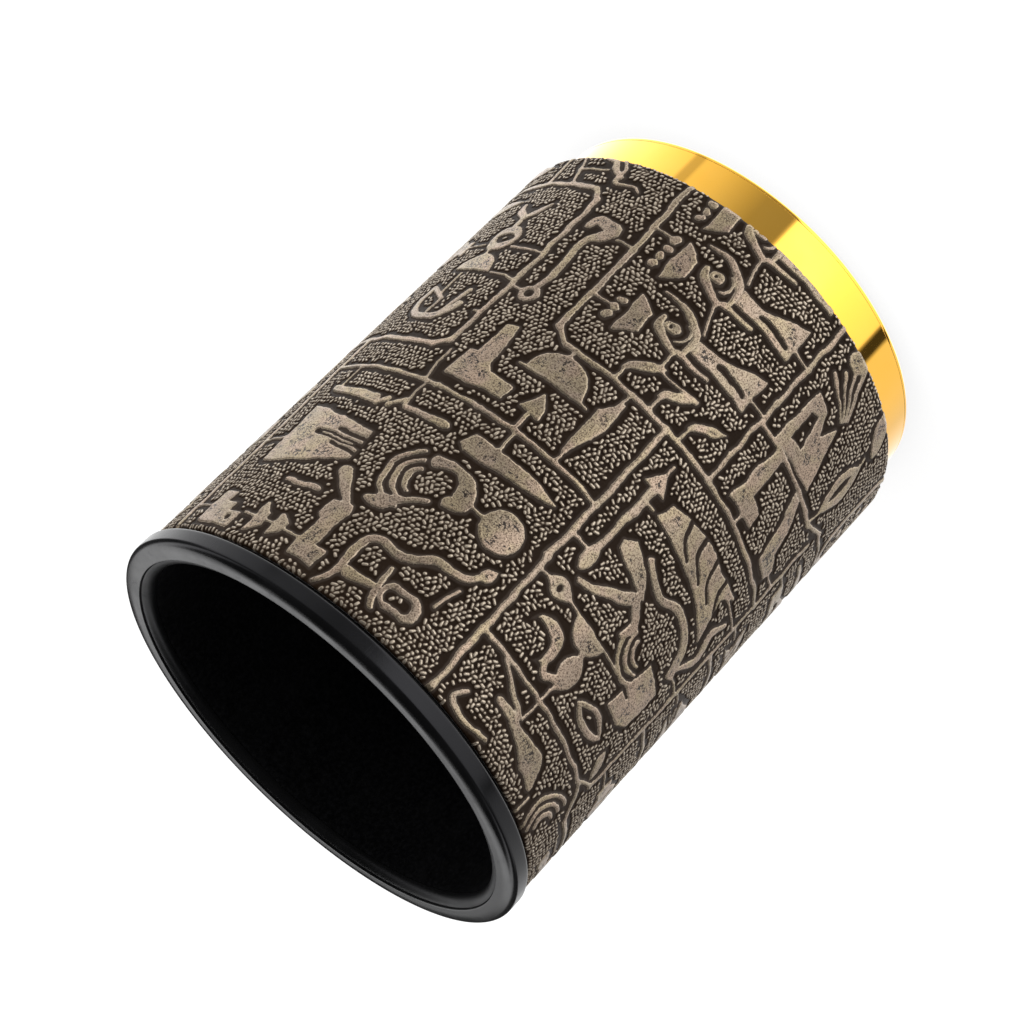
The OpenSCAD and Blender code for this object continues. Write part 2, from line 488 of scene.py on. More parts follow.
# Each picture with its centre, its turn in degrees and its size
PICTURES = [
    (steps_block(), 4.6, 37.4, 0, 1),
    (bowl(5.4, 2), 4.8, 29.6, 0, 1),
    (bowl(4.2, 1.6), 4.9, 25.8, 0, 1),
    (stroke([(0, -3), (0, 3)], 1.1, 0.8), 12.6, 28.6, 4, 1),
    (seat(), 7.6, 20, 0, 1),
    (serpent(), 8.4, 7, 0, 1),
    (loop_staff(), 5.4, 8, 6, 0.95),
    (reed_basket(), 20.6, 33.4, 0, 1),
    (rainbow(), 21.6, 14.6, 18, 1),
    (gourd(), 24.2, 11, 0, 0.95),
    (disc(3.3), 23.4, 1.2, 0, 1),
    (blade(16, 3), 31.4, 6.6, 94, 1),
    (stroke([(0, -5), (0, 5)], 1.9, 1.3), 30.6, 36.4, -3, 1),
    (stroke([(-0.8, 0.8), (0.8, -0.8)], 0.9), 30.4, 29.6, 0, 1),
    (stroke([(-0.8, 0.8), (0.8, -0.8)], 0.9), 31, 27.4, 0, 1),
    (stroke([(0, -3.6), (0, 3.6)], 1.3, 0.9), 31, 21.8, 3, 1),
    (stroke([(-3, 2), (3, -2)], 0.9, 2), 14.6, 22, 78, 1),
    (drumstick(), 16.8, 15.6, -150, 0.62),
    (mallet(), 43, 21.4, 0, 1),
    (half_disc(5), 46.4, 11, 0, 1),
    (dart(), 41.6, 10.4, 0, 0.85),
    (hull(11.5), 44.8, 2.2, 0, 1),
    (harp(), 53, 38.6, 0, 0.95),
    (half_disc(4), 58.8, 38.6, 0, 1),
    (lyre(), 66.6, 38.4, 0, 1),
    (jar(), 65, 51, 180, 0.9),
    (hull(10), 76, 49, 100, 1),
    (moon(2.8), 51.6, 51.4, 200, 1),
    (ladle(), 57.2, 24.4, 0, 1),
    (frond(), 57.6, 3.6, 0, 1),
    (frond(), 57.8, -3, 0, 1),
    (frond(), 58, -9.4, 0, 1),
    (laden_bowl(3), 63, 10.4, 0, 1),
    (laden_bowl(4), 74.6, 11, 0, 1),
    (laden_bowl(3), 85.4, 11, 0, 0.95),
    (bearer(), 65.4, 1.2, 0, 0.95),
    (bearer(), 76.4, 1.6, 0, 0.95),
    (bearer(), 87.2, 1.4, 0, 0.95),
    (pierced(moved(lens(5, 3), 0, 0, 90), disc(0.5)), 24.2, -10, 0, 1),
    (moon(3.2), 17.6, -13.4, 120, 1),
    (spear(), 38, -9.8, 0, 0.92),
    (zigzag(), 30.2, -17.2, 0, 1),
    (plume(), 44.4, -24.2, 0, 1),
    (half_disc(3.4), 24, -18, 180, 1),
    (duck(), 17.6, -19.8, 0, 0.9),
    (eye_ring(), 17, -28.6, 4, 0.95),
    (stool(), 25.2, -32.4, -4, 1),
    (curve([(0, -5), (3.6, -2.6), (5, 3), (3, 8), (5, 13)], 2, 1.5, 1.1), 33.2, -30.2, 0, 1),
    (rainbow(), 29.4, -27, 60, 0.9),
    (blade(9, 3), 35.4, -16.4, 70, 1),
    (lens(5, 2), 16, -37.4, 30, 1),
    (curve([(-4, 1), (0, -1.2), (4, 0.6), (7, -1)], 0.8, 1.8, 0.8), 38.6, -36.8, 0, 1),
    (hook(), 2.6, -13.6, 0, 1),
    (drumstick(), 6, -23, -18, 1),
    (stroke([(0, -4), (0, 4)], 0.9, 0.6), 9.4, -15, -25, 1),
    (rainbow(), 3.4, -37.4, -20, 0.95),
    (bracket(), 60, -22.4, 0, 1),
    (swoosh(), 60.4, -32.4, 0, 0.85),
    (hourglass(), 72.6, -24.2, 0, 1),
    (rays(), 82, -23, -30, 1),
    (pierced(lens(11, 4.6), lens(6.4, 1.4)), 74.4, -35.6, 0, 1),
    (lens(8, 3.6), 85.2, -33.6, 50, 1),
    (disc(1.8), 86, -20, 0, 1),
    (oval_seal(), 79.4, -49.8, 0, 1),
    (jar(), 17, -50, 0, 0.95),
    (reed_basket(), 34.2, -51, 180, 0.72),
    (plume(), 48, -50.4, 180, 0.58),
    (tent(), 59.4, -50, 0, 1),
    (stroke([(0, -5), (0, 5)], 1.6, 1), 64.8, -49, 4, 1),
    (seat(), 4, -50, 90, 0.7),
    (bow(3.6, 20, 200, 1, 1.4), 10.6, 51.6, 0, 1),
    (stool(), 22, 52, 0, 0.62),
    (disc(2.2), 31.6, 52, 0, 1),
    (blade(9, 2.6), 85.4, 50.6, 90, 1),
    (serpent(), 86, 27.6, 90, 0.5),
    (moon(2.2), 5.4, 52, 0, 1),
    (curve([(-2, -3), (0, 1), (3, 3), (4, 7)], 1.4, 2.2, 1), 84.6, 30, 0, 0.6),
]


# --- The embossed sheet ---
class Canvas:
    """Distances to the pictures over one repeat of the pattern, which closes on itself round the cup."""

    FAR = 9.0

    def __init__(self, rows, columns, pitch):
        self.pitch, self.rows, self.columns = pitch, rows, columns
        self.wobble = [0.1 * band_noise((rows, columns), pitch, 6, 0.6, 3 + k)
                       + 0.03 * band_noise((rows, columns), pitch, 1.5, 0.5, 9 + k) for k in range(2)]
        self.distance = np.full((rows, columns), self.FAR)

    def add(self, shape, x, y, reach):
        """Draws shape about (x, y), within reach of it, with a fillet where it meets what is there
        already. The wobble makes its edges look cut by hand."""
        first, last = int((x - reach) / self.pitch), int((x + reach) / self.pitch)
        i = np.arange(max(0, first), min(self.rows, last + 1))
        j = np.arange(int((y - reach) / self.pitch), int((y + reach) / self.pitch) + 1)
        if not len(i):
            return
        where = np.ix_(i, j % self.columns)
        u = (i * self.pitch)[:, None] - x + self.wobble[0][where]
        v = (j * self.pitch)[None, :] - y + self.wobble[1][where]
        before, added = self.distance[where], shape(u, v)
        share = np.clip(0.5 + (before - added) / (2 * FILLET), 0, 1)
        self.distance[where] = before + (added - before) * share - FILLET * share * (1 - share)

    def add_line(self, points, width):
        for a, b in zip(points, points[1:]):
            middle = ((a[0] + b[0]) / 2, (a[1] + b[1]) / 2)
            local = [(p[0] - middle[0], p[1] - middle[1]) for p in (a, b)]
            self.add(stroke(local, width), *middle, math.dist(a, b) / 2 + LINE_REACH)


def bead_grain(motif, pitch):
    """Depth inside small raised beads, like grains of rice, strewn where the pictures leave room."""
    rng = np.random.default_rng(21)
    rows, columns = motif.shape
    lines = round(rows * pitch / BEAD_ROW_SPACING)
    places = 2 * round(columns * pitch / BEAD_SPACING / 2)
    i, j = np.meshgrid(np.arange(lines), np.arange(places), indexing="ij")
    x_jitter, y_jitter = [rng.uniform(-BEAD_JITTER, BEAD_JITTER, i.shape) for _ in range(2)]
    x = (i + 0.5 + x_jitter) * rows * pitch / lines
    y = (j + i % 2 * 0.5 + 0.25 + y_jitter) * columns * pitch / places
    row, column = (x / pitch).astype(int), (y / pitch).astype(int)
    column_in = column % columns
    lay = 1.2 * band_noise(motif.shape, pitch, 9, 0.6, 22)[row, column_in] + rng.normal(0, 0.6, i.shape)
    half = rng.uniform(*BEAD_HALF_LENGTH, i.shape)
    radius = BEAD_R * rng.uniform(0.85, 1.1, i.shape)
    room = motif[row, column_in] > GRAIN_HALO + rng.uniform(-0.08, 0.1, i.shape)
    steps = round(BEAD_REACH / pitch)
    di, dj = np.mgrid[-steps:steps + 1, -steps:steps + 1]
    depths = []
    # No two beads of one group touch, so a field for each group shows the lines where beads meet
    for group in range(BEAD_GROUPS):
        chosen = room & (i % 2 + 2 * (j % 2) == group)
        beads = [a[chosen][:, None, None] for a in (x, y, row, column, lay, half, radius)]
        bx, by, bi, bj, turn, length, r = beads
        u, v = (bi + di) * pitch - bx, (bj + dj) * pitch - by
        along = np.clip(u * np.cos(turn) + v * np.sin(turn), -length, length)
        depth = r - np.hypot(u - along * np.cos(turn), v - along * np.sin(turn))
        field = np.full(motif.shape, -1.0)
        np.maximum.at(field, (np.clip(bi + di, 0, rows - 1), (bj + dj) % columns), depth)
        depths.append(field)
    depths = np.sort(depths, axis=0)
    return np.minimum(depths[-1], (depths[-1] - depths[-2]) / 2 - BEAD_GAP)


def emboss_fields(rows, columns, pitch):
    """For each point of one repeat: distance to the nearest picture or line, and depth inside a bead."""
    canvas = Canvas(rows, columns, pitch)
    for shape, x, y, turn, size in PICTURES:
        canvas.add(moved(shape, 0, 0, turn, size), x, y, PICTURE_REACH * size)
    for width, rail in RAILS:
        canvas.add_line(rail, width)
    for tie in TIES:
        canvas.add_line(tie, TIE_W)
    return canvas.distance, bead_grain(canvas.distance, pitch)


def wrap_height(motif, grain):
    """Height of the sheet's face over its ground, from 0 to 1."""
    slope = 0.16
    bead_height, skirt, bead_rise = 0.95, 0.06, 0.3
    top = smoothstep(-motif, -slope, slope)
    bead = bead_height * np.sqrt(np.clip((grain + skirt) / bead_rise, 0, 1))
    return np.maximum(top, bead)


def wrap_uv(piece, rows, columns):
    """A flat layout for the sheet: its outer face in two strips, one above the other, and the rest in
    three thin bands."""
    strip_h, strip_step = 0.48, 0.485
    band_low, band_h, band_step = 0.975, 0.005, 0.006
    right, down = np.array([[0, 1, 1, 0]]), np.array([[0, 0, 1, 1]])
    half = columns // 2
    i, j = np.meshgrid(np.arange(rows - 1), np.arange(columns), indexing="ij")
    i, j = i.reshape(-1, 1), j.reshape(-1, 1)
    u = (j % half + right) / half
    v = strip_step * (j // half) + strip_h * (i + down) / (rows - 1)
    outer = np.stack([u, v], -1)
    k = np.arange(3 * columns).reshape(-1, 1)
    u = (k % columns + right) / columns
    v = band_low + band_step * (k // columns) + band_h * down
    band = np.stack([u, v], -1)
    layer = piece.data.uv_layers.new(name="OFBake")
    layer.data.foreach_set("uv", np.concatenate([outer, band]).astype(np.float32).ravel())


def leatherette_wrap(material):
    """The sheet, closed into a tube: an embossed outer face, rolled cut edges and a butt joint."""
    height = WRAP_TOP_Z - WRAP_LOW_Z
    around = 2 * math.pi * WRAP_R
    repeat_columns = round(around / 2 / PITCH)
    columns = 2 * repeat_columns
    rows = round(height / PITCH) + 1
    pitch_mm = PITCH / MM
    motif, grain = emboss_fields(rows, repeat_columns, pitch_mm)
    motif, grain = np.tile(motif, 2), np.tile(grain, 2)
    raised = wrap_height(motif, grain)
    slow = band_noise((rows, columns), pitch_mm, 9, 0.5, 31)
    fine = band_noise((rows, columns), pitch_mm, 0.7, 0.4, 32)

    # y = 0 of the pattern is at the front of the cup, and the butt joint is at the back
    angle = np.arange(columns) / columns * 2 * math.pi - math.pi / 2
    across = np.abs(np.arange(columns) / columns - 0.5) * around
    seam = np.exp(-((across / (SEAM_W / 2)) ** 2))
    edge = np.minimum(np.arange(rows), np.arange(rows)[::-1])[:, None] * PITCH
    rolled = EDGE_ROLL * np.exp(-((edge / EDGE_ROLL_W) ** 2))
    ground_uneven = UNEVENNESS * slow * (1 - raised)
    top_uneven = UNEVENNESS * np.clip(fine, 0, 2) * raised
    radius = WRAP_R - RELIEF + RELIEF * raised - rolled + ground_uneven - top_uneven - SEAM_DEPTH * seam
    radius = np.minimum(radius, WRAP_R)
    z = WRAP_TOP_Z - np.linspace(0, height, rows)[:, None]

    # The outer face from top to bottom, then the inner face's lower and upper edges
    radius = np.concatenate([radius, np.full((2, columns), SHELL_R + SHEET_CLEARANCE)])
    z = np.concatenate([z, [[WRAP_LOW_Z], [WRAP_TOP_Z]]])
    points = np.stack([radius * np.cos(angle), radius * np.sin(angle), z + 0 * radius], -1)
    faces = loop_faces(rows + 2, columns)[:, ::-1]
    piece = new_piece("leatherette_sheet", points.reshape(-1, 3), faces, material)
    for name, field in (("motif", motif), ("grain", grain)):
        layer = piece.data.attributes.new(name, "FLOAT", "POINT")
        layer.data.foreach_set("value", np.concatenate([field, field[[-1, 0]]]).astype(np.float32).ravel())
    wrap_uv(piece, rows, columns)
    return piece


# --- Materials ---
class Nodes:
    """A node tree, built in few words. A socket or a plain value can be given for any input."""

    def __init__(self, tree, place):
        self.tree = tree
        self.place = self.add("TexCoord").outputs[place]

    def add(self, kind, settings=None, **inputs):
        node = self.tree.nodes.new("ShaderNode" + kind)
        for key, value in (settings or {}).items():
            setattr(node, key, value)
        for key, value in inputs.items():
            self.put(node.inputs[key.replace("_", " ")], value)
        return node

    def put(self, socket, value):
        if isinstance(value, bpy.types.NodeSocket):
            self.tree.links.new(value, socket)
        else:
            socket.default_value = value

    def math(self, operation, a, b=0.0, c=0.0):
        node = self.add("Math", {"operation": operation})
        for socket, value in zip(node.inputs, (a, b, c)):
            self.put(socket, value)
        return node.outputs[0]

    def noise(self, scale, detail=2.0, rough=0.5, where=None):
        """Noise from 0 to 1, with scale in features per metre."""
        node = self.add("TexNoise", None, Vector=where or self.place, Scale=scale, Detail=detail,
                        Roughness=rough)
        return node.outputs["Fac"]

    def cells(self, scale):
        return self.add("TexVoronoi", None, Vector=self.place, Scale=scale).outputs["Distance"]

    def vector(self, operation, a, b, output=0):
        node = self.add("VectorMath", {"operation": operation})
        for socket, value in zip(node.inputs, (a, b)):
            self.put(socket, value)
        return node.outputs[output]

    def scaled(self, x, y, z):
        return self.vector("MULTIPLY", self.place, (x, y, z))

    def ramp(self, value, low, high, start=0.0, end=1.0):
        """start below low, end above high, and a smooth change between."""
        node = self.add("MapRange", {"interpolation_type": "SMOOTHSTEP"}, Value=value, From_Min=low,
                        From_Max=high, To_Min=start, To_Max=end)
        return node.outputs["Result"]

    def degrees_ramp(self, value, low, high, start=0.0, end=1.0):
        return self.ramp(value, math.radians(low), math.radians(high), start, end)

    def mix(self, share, a, b):
        node = self.add("Mix", {"data_type": "RGBA"})
        for index, value in ((0, share), (6, a), (7, b)):
            self.put(node.inputs[index], value)
        return node.outputs[2]

    def attribute(self, name):
        return self.add("Attribute", {"attribute_name": name}).outputs["Fac"]

    def bump(self, height, distance, strength=1.0):
        return self.add("Bump", None, Strength=strength, Distance=distance, Height=height).outputs["Normal"]


class Look(Nodes):
    """A material with one principled shader, and its patterns placed by the object's own coordinates."""

    def __init__(self, name):
        self.material = bpy.data.materials.new(name)
        self.material.use_nodes = True
        super().__init__(self.material.node_tree, "Object")
        self.shader = self.tree.nodes["Principled BSDF"]

    def set(self, **inputs):
        for key, value in inputs.items():
            self.put(self.shader.inputs[key.replace("_", " ")], value)


def rgb(r, g, b):
    return (r, g, b, 1.0)


def leatherette_look():
    """Two-tone embossed leatherette: near-black ground, satin tan tops with fine speckle and dark pits."""
    look = Look("leatherette")
    motif, grain = look.attribute("motif"), look.attribute("grain")
    speckle = look.noise(4600, 2, 0.6)
    patchy = look.noise(120, 3, 0.6)
    fibre = look.noise(1500, 4, 0.65)
    pit_place = look.noise(420, 2, 0.5)
    pit_shape = look.noise(2200, 2, 0.8)

    edge = look.math("ADD", motif, look.ramp(look.noise(2600, 2), 0.3, 0.7, -0.04, 0.04))
    top = look.ramp(edge, 0.03, -0.07)
    skirt = look.ramp(grain, -0.05, 0.06)
    bead = look.ramp(grain, 0.02, 0.17)
    deep = look.ramp(motif, -0.4, -0.8)
    pits = look.math("MULTIPLY", look.ramp(pit_place, 0.49, 0.56),
                     look.math("MULTIPLY", look.ramp(pit_shape, 0.5, 0.58), deep))

    ground = look.mix(look.ramp(patchy, 0.3, 0.7), rgb(0.0125, 0.006, 0.0022), rgb(0.019, 0.0105, 0.0055))
    ground = look.mix(look.ramp(fibre, 0.45, 0.75, 0.0, 0.4), ground, rgb(0.03, 0.02, 0.014))
    tint = look.mix(look.ramp(look.noise(260, 2), 0.4, 0.6), rgb(0.43, 0.345, 0.22), rgb(0.45, 0.335, 0.25))
    tan = look.mix(look.ramp(patchy, 0.35, 0.65, 0.0, 0.6), tint, rgb(0.33, 0.27, 0.21))
    tan = look.mix(look.ramp(speckle, 0.46, 0.62, 0.0, 0.9), tan, rgb(0.12, 0.085, 0.06))
    # Painted highlight: a lighter band just inside the edge of each raised top, standing in for light
    # catching the edges
    tan = look.mix(look.ramp(motif, -0.2, -0.06, 0.0, 0.4), tan, rgb(0.5, 0.42, 0.32))
    tan = look.mix(pits, tan, rgb(0.02, 0.011, 0.006))
    pale = look.mix(look.ramp(speckle, 0.4, 0.6), rgb(0.56, 0.48, 0.38), rgb(0.42, 0.35, 0.27))
    ground = look.mix(look.ramp(motif, 0.1, 0.5, 0.7, 0.0), ground, rgb(0.06, 0.045, 0.036))
    # The beads run from brown at the skirt to pale at the peak: partly their two-tone colour, partly
    # painted shade on each dome's lower slopes
    colour = look.mix(look.math("MULTIPLY", skirt, 0.9), ground, rgb(0.085, 0.06, 0.042))
    colour = look.mix(bead, colour, pale)
    colour = look.mix(top, colour, tan)

    raised = look.math("MAXIMUM", top, bead)
    shine = look.math("MULTIPLY", raised, look.math("SUBTRACT", 1.0, pits))
    rough = look.math("ADD", look.ramp(raised, 0, 1, 0.5, 0.34), look.ramp(fibre, 0.3, 0.7, -0.05, 0.07))
    relief = look.math("ADD", look.math("MULTIPLY", fibre, 0.5), look.math("MULTIPLY", speckle, 0.5))
    relief = look.math("SUBTRACT", relief, look.math("MULTIPLY", pits, 2.0))
    look.set(Base_Color=colour, Roughness=rough, Normal=look.bump(relief, 0.04 * MM, 0.6),
             Metallic=look.math("MULTIPLY", shine, 0.78),
             Specular_IOR_Level=look.ramp(raised, 0, 1, 0.07, 0.4),
             Sheen_Weight=look.ramp(raised, 0, 1, 0.1, 0.0),
             Sheen_Roughness=0.3, Sheen_Tint=rgb(0.95, 0.9, 0.9))
    return look.material


def moulded_look(name, shade, roughness, grain):
    """Black moulded plastic with a fine spark-eroded grain, faint streaks and handling marks."""
    look = Look(name)
    fine = look.noise(grain, 3, 0.6)
    smear = look.noise(90, 4, 0.6)
    scratch = look.noise(700, 3, 0.7, look.scaled(1, 1, 0.12))
    dark, pale = rgb(shade, shade, shade * 1.04), rgb(shade * 1.5, shade * 1.5, shade * 1.6)
    tone = look.mix(look.ramp(smear, 0.35, 0.7), dark, pale)
    rough = look.math("ADD", look.ramp(smear, 0.3, 0.75, roughness - 0.04, roughness + 0.07),
                      look.ramp(scratch, 0.55, 0.75, 0.0, 0.06))
    height = look.math("ADD", fine, look.math("MULTIPLY", scratch, 0.25))
    look.set(Base_Color=tone, Roughness=rough, Normal=look.bump(height, 0.012 * MM, 0.5),
             Specular_IOR_Level=0.25, Specular_Tint=rgb(0.93, 0.93, 1.0))
    return look.material


def gold_look():
    """Bright gold electroplate: nearly a mirror, with faint polishing lines, dust and a soft haze."""
    look = Look("gold_plate")
    haze = look.noise(60, 3, 0.6)
    lines = look.noise(2500, 3, 0.7, look.scaled(0.05, 0.05, 1))
    dust = look.ramp(look.cells(900), 0.02, 0.05, 1.0, 0.0)
    colour = look.mix(look.ramp(haze, 0.35, 0.7), rgb(1.0, 0.53, 0.055), rgb(1.0, 0.55, 0.075))
    rough = look.math("ADD", look.ramp(haze, 0.3, 0.8, 0.035, 0.07), look.math("MULTIPLY", dust, 0.05))
    ripple = look.math("MULTIPLY", look.noise(180, 2), 0.6)
    height = look.math("ADD", look.math("MULTIPLY", lines, 0.2), ripple)
    look.set(Base_Color=colour, Metallic=1.0, Roughness=rough, Normal=look.bump(height, 0.006 * MM, 0.35),
             Coat_Weight=0.4, Coat_Roughness=0.05)
    return look.material


def pile_look(name, dark, pale, scale):
    """Short black pile: uneven nap, lint flecks and a soft sheen at grazing angles."""
    look = Look(name)
    nap = look.noise(scale, 3, 0.7)
    sweep = look.noise(70, 3, 0.6, look.scaled(1, 1, 0.5))
    lint = look.ramp(look.noise(2400, 2, 0.8), 0.74, 0.8)
    colour = look.mix(look.ramp(nap, 0.35, 0.75), rgb(*dark), rgb(*pale))
    colour = look.mix(look.ramp(sweep, 0.45, 0.8, 0.0, 0.5), colour, rgb(*[c * 1.7 for c in pale]))
    colour = look.mix(look.math("MULTIPLY", lint, 0.3), colour, rgb(*[c * 5 for c in pale]))
    height = look.math("ADD", nap, look.math("MULTIPLY", sweep, 0.6))
    look.set(Base_Color=colour, Roughness=0.98, Normal=look.bump(height, 0.12 * MM, 0.8),
             Specular_IOR_Level=0.04,
             Sheen_Weight=0.06, Sheen_Roughness=0.4, Sheen_Tint=rgb(0.1, 0.1, 0.11))
    return look.material


def foam_look():
    """Closed-cell foam: small bubbles, cut through."""
    look = Look("foam")
    bubbles = look.cells(1700)
    tone = look.mix(look.ramp(bubbles, 0.1, 0.6), rgb(0.012, 0.012, 0.013), rgb(0.05, 0.05, 0.053))
    look.set(Base_Color=tone, Roughness=0.9, Normal=look.bump(bubbles, 0.1 * MM, 0.9),
             Specular_IOR_Level=0.2)
    return look.material


def floor_look():
    """Pale translucent table, lit faintly from below so that hardly a shadow shows on it."""
    look = Look("light_table")
    tooth = look.noise(900, 3, 0.6)
    tone = look.mix(tooth, rgb(0.48, 0.48, 0.48), rgb(0.5, 0.5, 0.5))
    look.set(Base_Color=tone, Roughness=0.9, Normal=look.bump(tooth, 0.05 * MM, 0.2),
             Specular_IOR_Level=0.1,
             Emission_Color=rgb(1, 1, 1), Emission_Strength=0.78)
    return look.material


# --- The other pieces ---
def rim_bead(material):
    """Ring with a face that falls away a little toward its rolled outer shoulder, and a crisp bore."""
    inner_r = RIM_R - RIM_FACE_W
    shoulder, lower, ease = 1.0 * MM, 0.4 * MM, 0.1 * MM
    crown, fall = 6.5 * MM, 12
    across, down = math.sin(math.radians(fall)), math.cos(math.radians(fall))
    crown_r = RIM_R - crown * across - shoulder * (1 - across)
    shoulder_z = RIM_TOP_Z - crown * (1 - down) - shoulder * down
    profile = [(inner_r, RIM_LOW_Z)]
    profile += arc((RIM_R - lower, RIM_LOW_Z + lower), lower, -90, 0, 6)
    profile += arc((RIM_R - shoulder, shoulder_z), shoulder, 0, 90 - fall, 16)
    profile += arc((crown_r, RIM_TOP_Z - crown), crown, 90 - fall, 90, 8)[1:]
    profile += arc((inner_r + ease, RIM_TOP_Z - ease), ease, 90, 180, 4)
    return revolve("rim_bead", spaced(profile, 0.25 * MM), material)


def cup_body(material):
    """Wall, floor, spigot, and the lip that rolls over from the rim's bore to the lining."""
    parting, glue, ease = 0.03 * MM, 0.05 * MM, 0.05 * MM
    lip_w, lip_h, roll = 1.5 * MM, 1.6 * MM, 1.35 * MM
    spigot_inset, spigot_t = 2.1 * MM, 2.0 * MM
    top_r, bore_r = RIM_R - RIM_FACE_W - parting, LINING_R + glue
    lip_r, lip_low_z = top_r - lip_w, LIP_Z - lip_h
    spigot_r = BASE_R - spigot_inset
    spigot_bore_r = spigot_r - spigot_t
    profile = [(spigot_bore_r, SHELL_LOW_Z), (spigot_r, SHELL_LOW_Z), (spigot_r, BASE_TOP_Z),
               (SHELL_R, BASE_TOP_Z), (SHELL_R, RIM_LOW_Z), (top_r, RIM_LOW_Z), (top_r, LIP_Z - ease)]
    profile += arc((lip_r + roll, LIP_Z - roll), roll, 88, 180, 16)
    profile += [(lip_r, lip_low_z), (bore_r, lip_low_z), (bore_r, FOAM_LOW_Z),
                (HUB_R, FOAM_LOW_Z), (HUB_R, BASE_TOP_Z), (spigot_bore_r, BASE_TOP_Z)]
    return revolve("cup_body", spaced(profile, 3 * MM), material)


def gold_cap(material):
    """Plated tray with a fine bead turned at its foot and a recess below for the felt."""
    foot, wall_t, floor_t, pad_fit = 0.45 * MM, 2.0 * MM, 1.8 * MM, 0.1 * MM
    recess_r, recess_z = PAD_R + pad_fit, PAD_TOP_Z
    bore_r, bore_z = BASE_R - wall_t, recess_z + floor_t
    groove_z, groove = BASE_LOW_Z + 0.75 * MM, 0.05 * MM
    edge, ease = 0.2 * MM, 0.15 * MM
    profile = [(bore_r, BASE_TOP_Z), (bore_r, bore_z), (HUB_R, bore_z), (HUB_R, recess_z),
               (recess_r, recess_z), (recess_r, BASE_LOW_Z + edge), (recess_r + edge, BASE_LOW_Z)]
    profile += arc((BASE_R - foot, BASE_LOW_Z + foot), foot, -90, 0, 12)
    profile += arc((BASE_R, groove_z), groove, 250, 110, 6)
    profile += [(BASE_R, BASE_TOP_Z - ease), (BASE_R - ease, BASE_TOP_Z)]
    return revolve("gold_cap", spaced(profile, 0.5 * MM), material)


def nap(points, amount, wavelength_rows, seed):
    """Pushes the points of a turned surface in and out by smooth noise, so that it looks soft."""
    lift = band_noise(points.shape[:2], 1.0, wavelength_rows, 0.6, seed) * amount
    flat = points[..., :2]
    out = points.copy()
    out[..., :2] += flat / np.linalg.norm(flat, axis=-1, keepdims=True) * lift[..., None]
    return out


def wall_flannelette(material):
    """Brushed cloth on the wall, a little uneven, with its lapped joint at the back."""
    rows, columns = 140, 360
    inner_r = LINING_R - LINING_T + 0.06 * MM
    edge_w, edge_ease = 0.25 * MM, 0.2 * MM
    lap_w, lap_rise = 3 * MM, 0.25 * MM
    z = np.linspace(LINING_LOW_Z, LINING_TOP_Z, rows)
    fade = np.minimum(1, np.minimum(z - z[0], z[-1] - z) / edge_w)
    inner = turned([(inner_r + edge_ease * (1 - f), h) for f, h in zip(fade, z)], columns)
    inner = nap(inner, 0.035 * MM, 7, 41)
    across = (np.arange(columns) / columns - 0.25) * 2 * math.pi * inner_r
    lap = lap_rise * np.exp(-((across / lap_w) ** 4))
    inner[..., :2] *= (1 - lap / inner_r)[None, :, None]
    outer = turned([(LINING_R, z[-1]), (LINING_R, z[0])], columns)
    points = np.concatenate([inner, outer])
    return new_piece("wall_flannelette", points.reshape(-1, 3), loop_faces(rows + 2, columns), material)


def soft_disc(name, radius, low_z, high_z, edge, material, lift, seed):
    """A soft round pad: rounded edge, and a face made uneven by lift."""
    rings, columns = 46, 240
    r = np.linspace(0.02, 1, rings) * (radius - edge)
    top = [(x, high_z) for x in r]
    side = arc((radius - edge, high_z - edge), edge, 80, 0, 6)
    foot = arc((radius - edge, low_z + edge), edge, 0, -90, 6)
    bottom = [(x, low_z) for x in r[::-3]]
    profile = top + side + foot + bottom
    points = turned(profile, columns)
    bumps = band_noise((len(profile), columns), 1.0, 6, 0.6, seed) * lift
    fade = np.clip(np.linspace(0, 8, len(profile)), 0, 1) * (np.arange(len(profile)) < len(top))
    points[..., 2] += bumps * fade[:, None] - lift * 2 * (fade[:, None] > 0)
    return new_piece(name, points.reshape(-1, 3), loop_faces(len(profile), columns)[:, ::-1], material)


# --- Stage ---
# The panels that stand round the cup: their brightness by direction, in degrees from the front
PANELS = [
    (-180, 0.45), (-145, 0.38), (-128, 0.32), (-108, 0.35), (-77, 0.36), (-75, 0.02), (-68, 0.02),
    (-66, 0.5), (-40, 0.64), (-20, 0.88), (-5, 0.88), (4, 0.76), (6, 0.12), (24, 0.135), (40, 0.24),
    (50, 0.31), (64, 0.37), (66, 0.24), (71, 0.25), (73, 0.44), (90, 0.56), (108, 0.66), (132, 0.75),
    (160, 0.65), (179, 0.55),
]


def panel_ring(look, turn):
    """The panels' brightness by direction round the cup."""
    share = look.math("ADD", look.math("DIVIDE", turn, 2 * math.pi), 0.5)
    ring = look.add("ValToRGB", None, Fac=share)
    elements = ring.color_ramp.elements
    while len(elements) < len(PANELS):
        elements.new(0.5)
    for element, (degrees, value) in zip(elements, PANELS):
        element.position = degrees / 360 + 0.5
        element.color = (value, value, value, 1)
    return ring.outputs["Color"]


def below_horizon(look, turn, tilt):
    """The panels, which lean a little, are dim behind the cup, and end at the bright table."""
    lean = look.math("MULTIPLY", look.math("ADD", tilt, math.radians(25)), 0.35)
    turn = look.math("ADD", turn, lean)
    behind = look.math("MULTIPLY", look.degrees_ramp(look.math("ABSOLUTE", turn), 95, 125),
                       look.degrees_ramp(tilt, -20, -10))
    glow = look.math("MULTIPLY", panel_ring(look, turn), look.ramp(behind, 0, 1, 2.5, 0.12))
    glow = look.math("MULTIPLY", glow, look.degrees_ramp(tilt, -32, -14, 1.15, 0.8))
    return look.mix(look.degrees_ramp(tilt, -44, -40), rgb(1.8, 1.8, 1.8), glow)


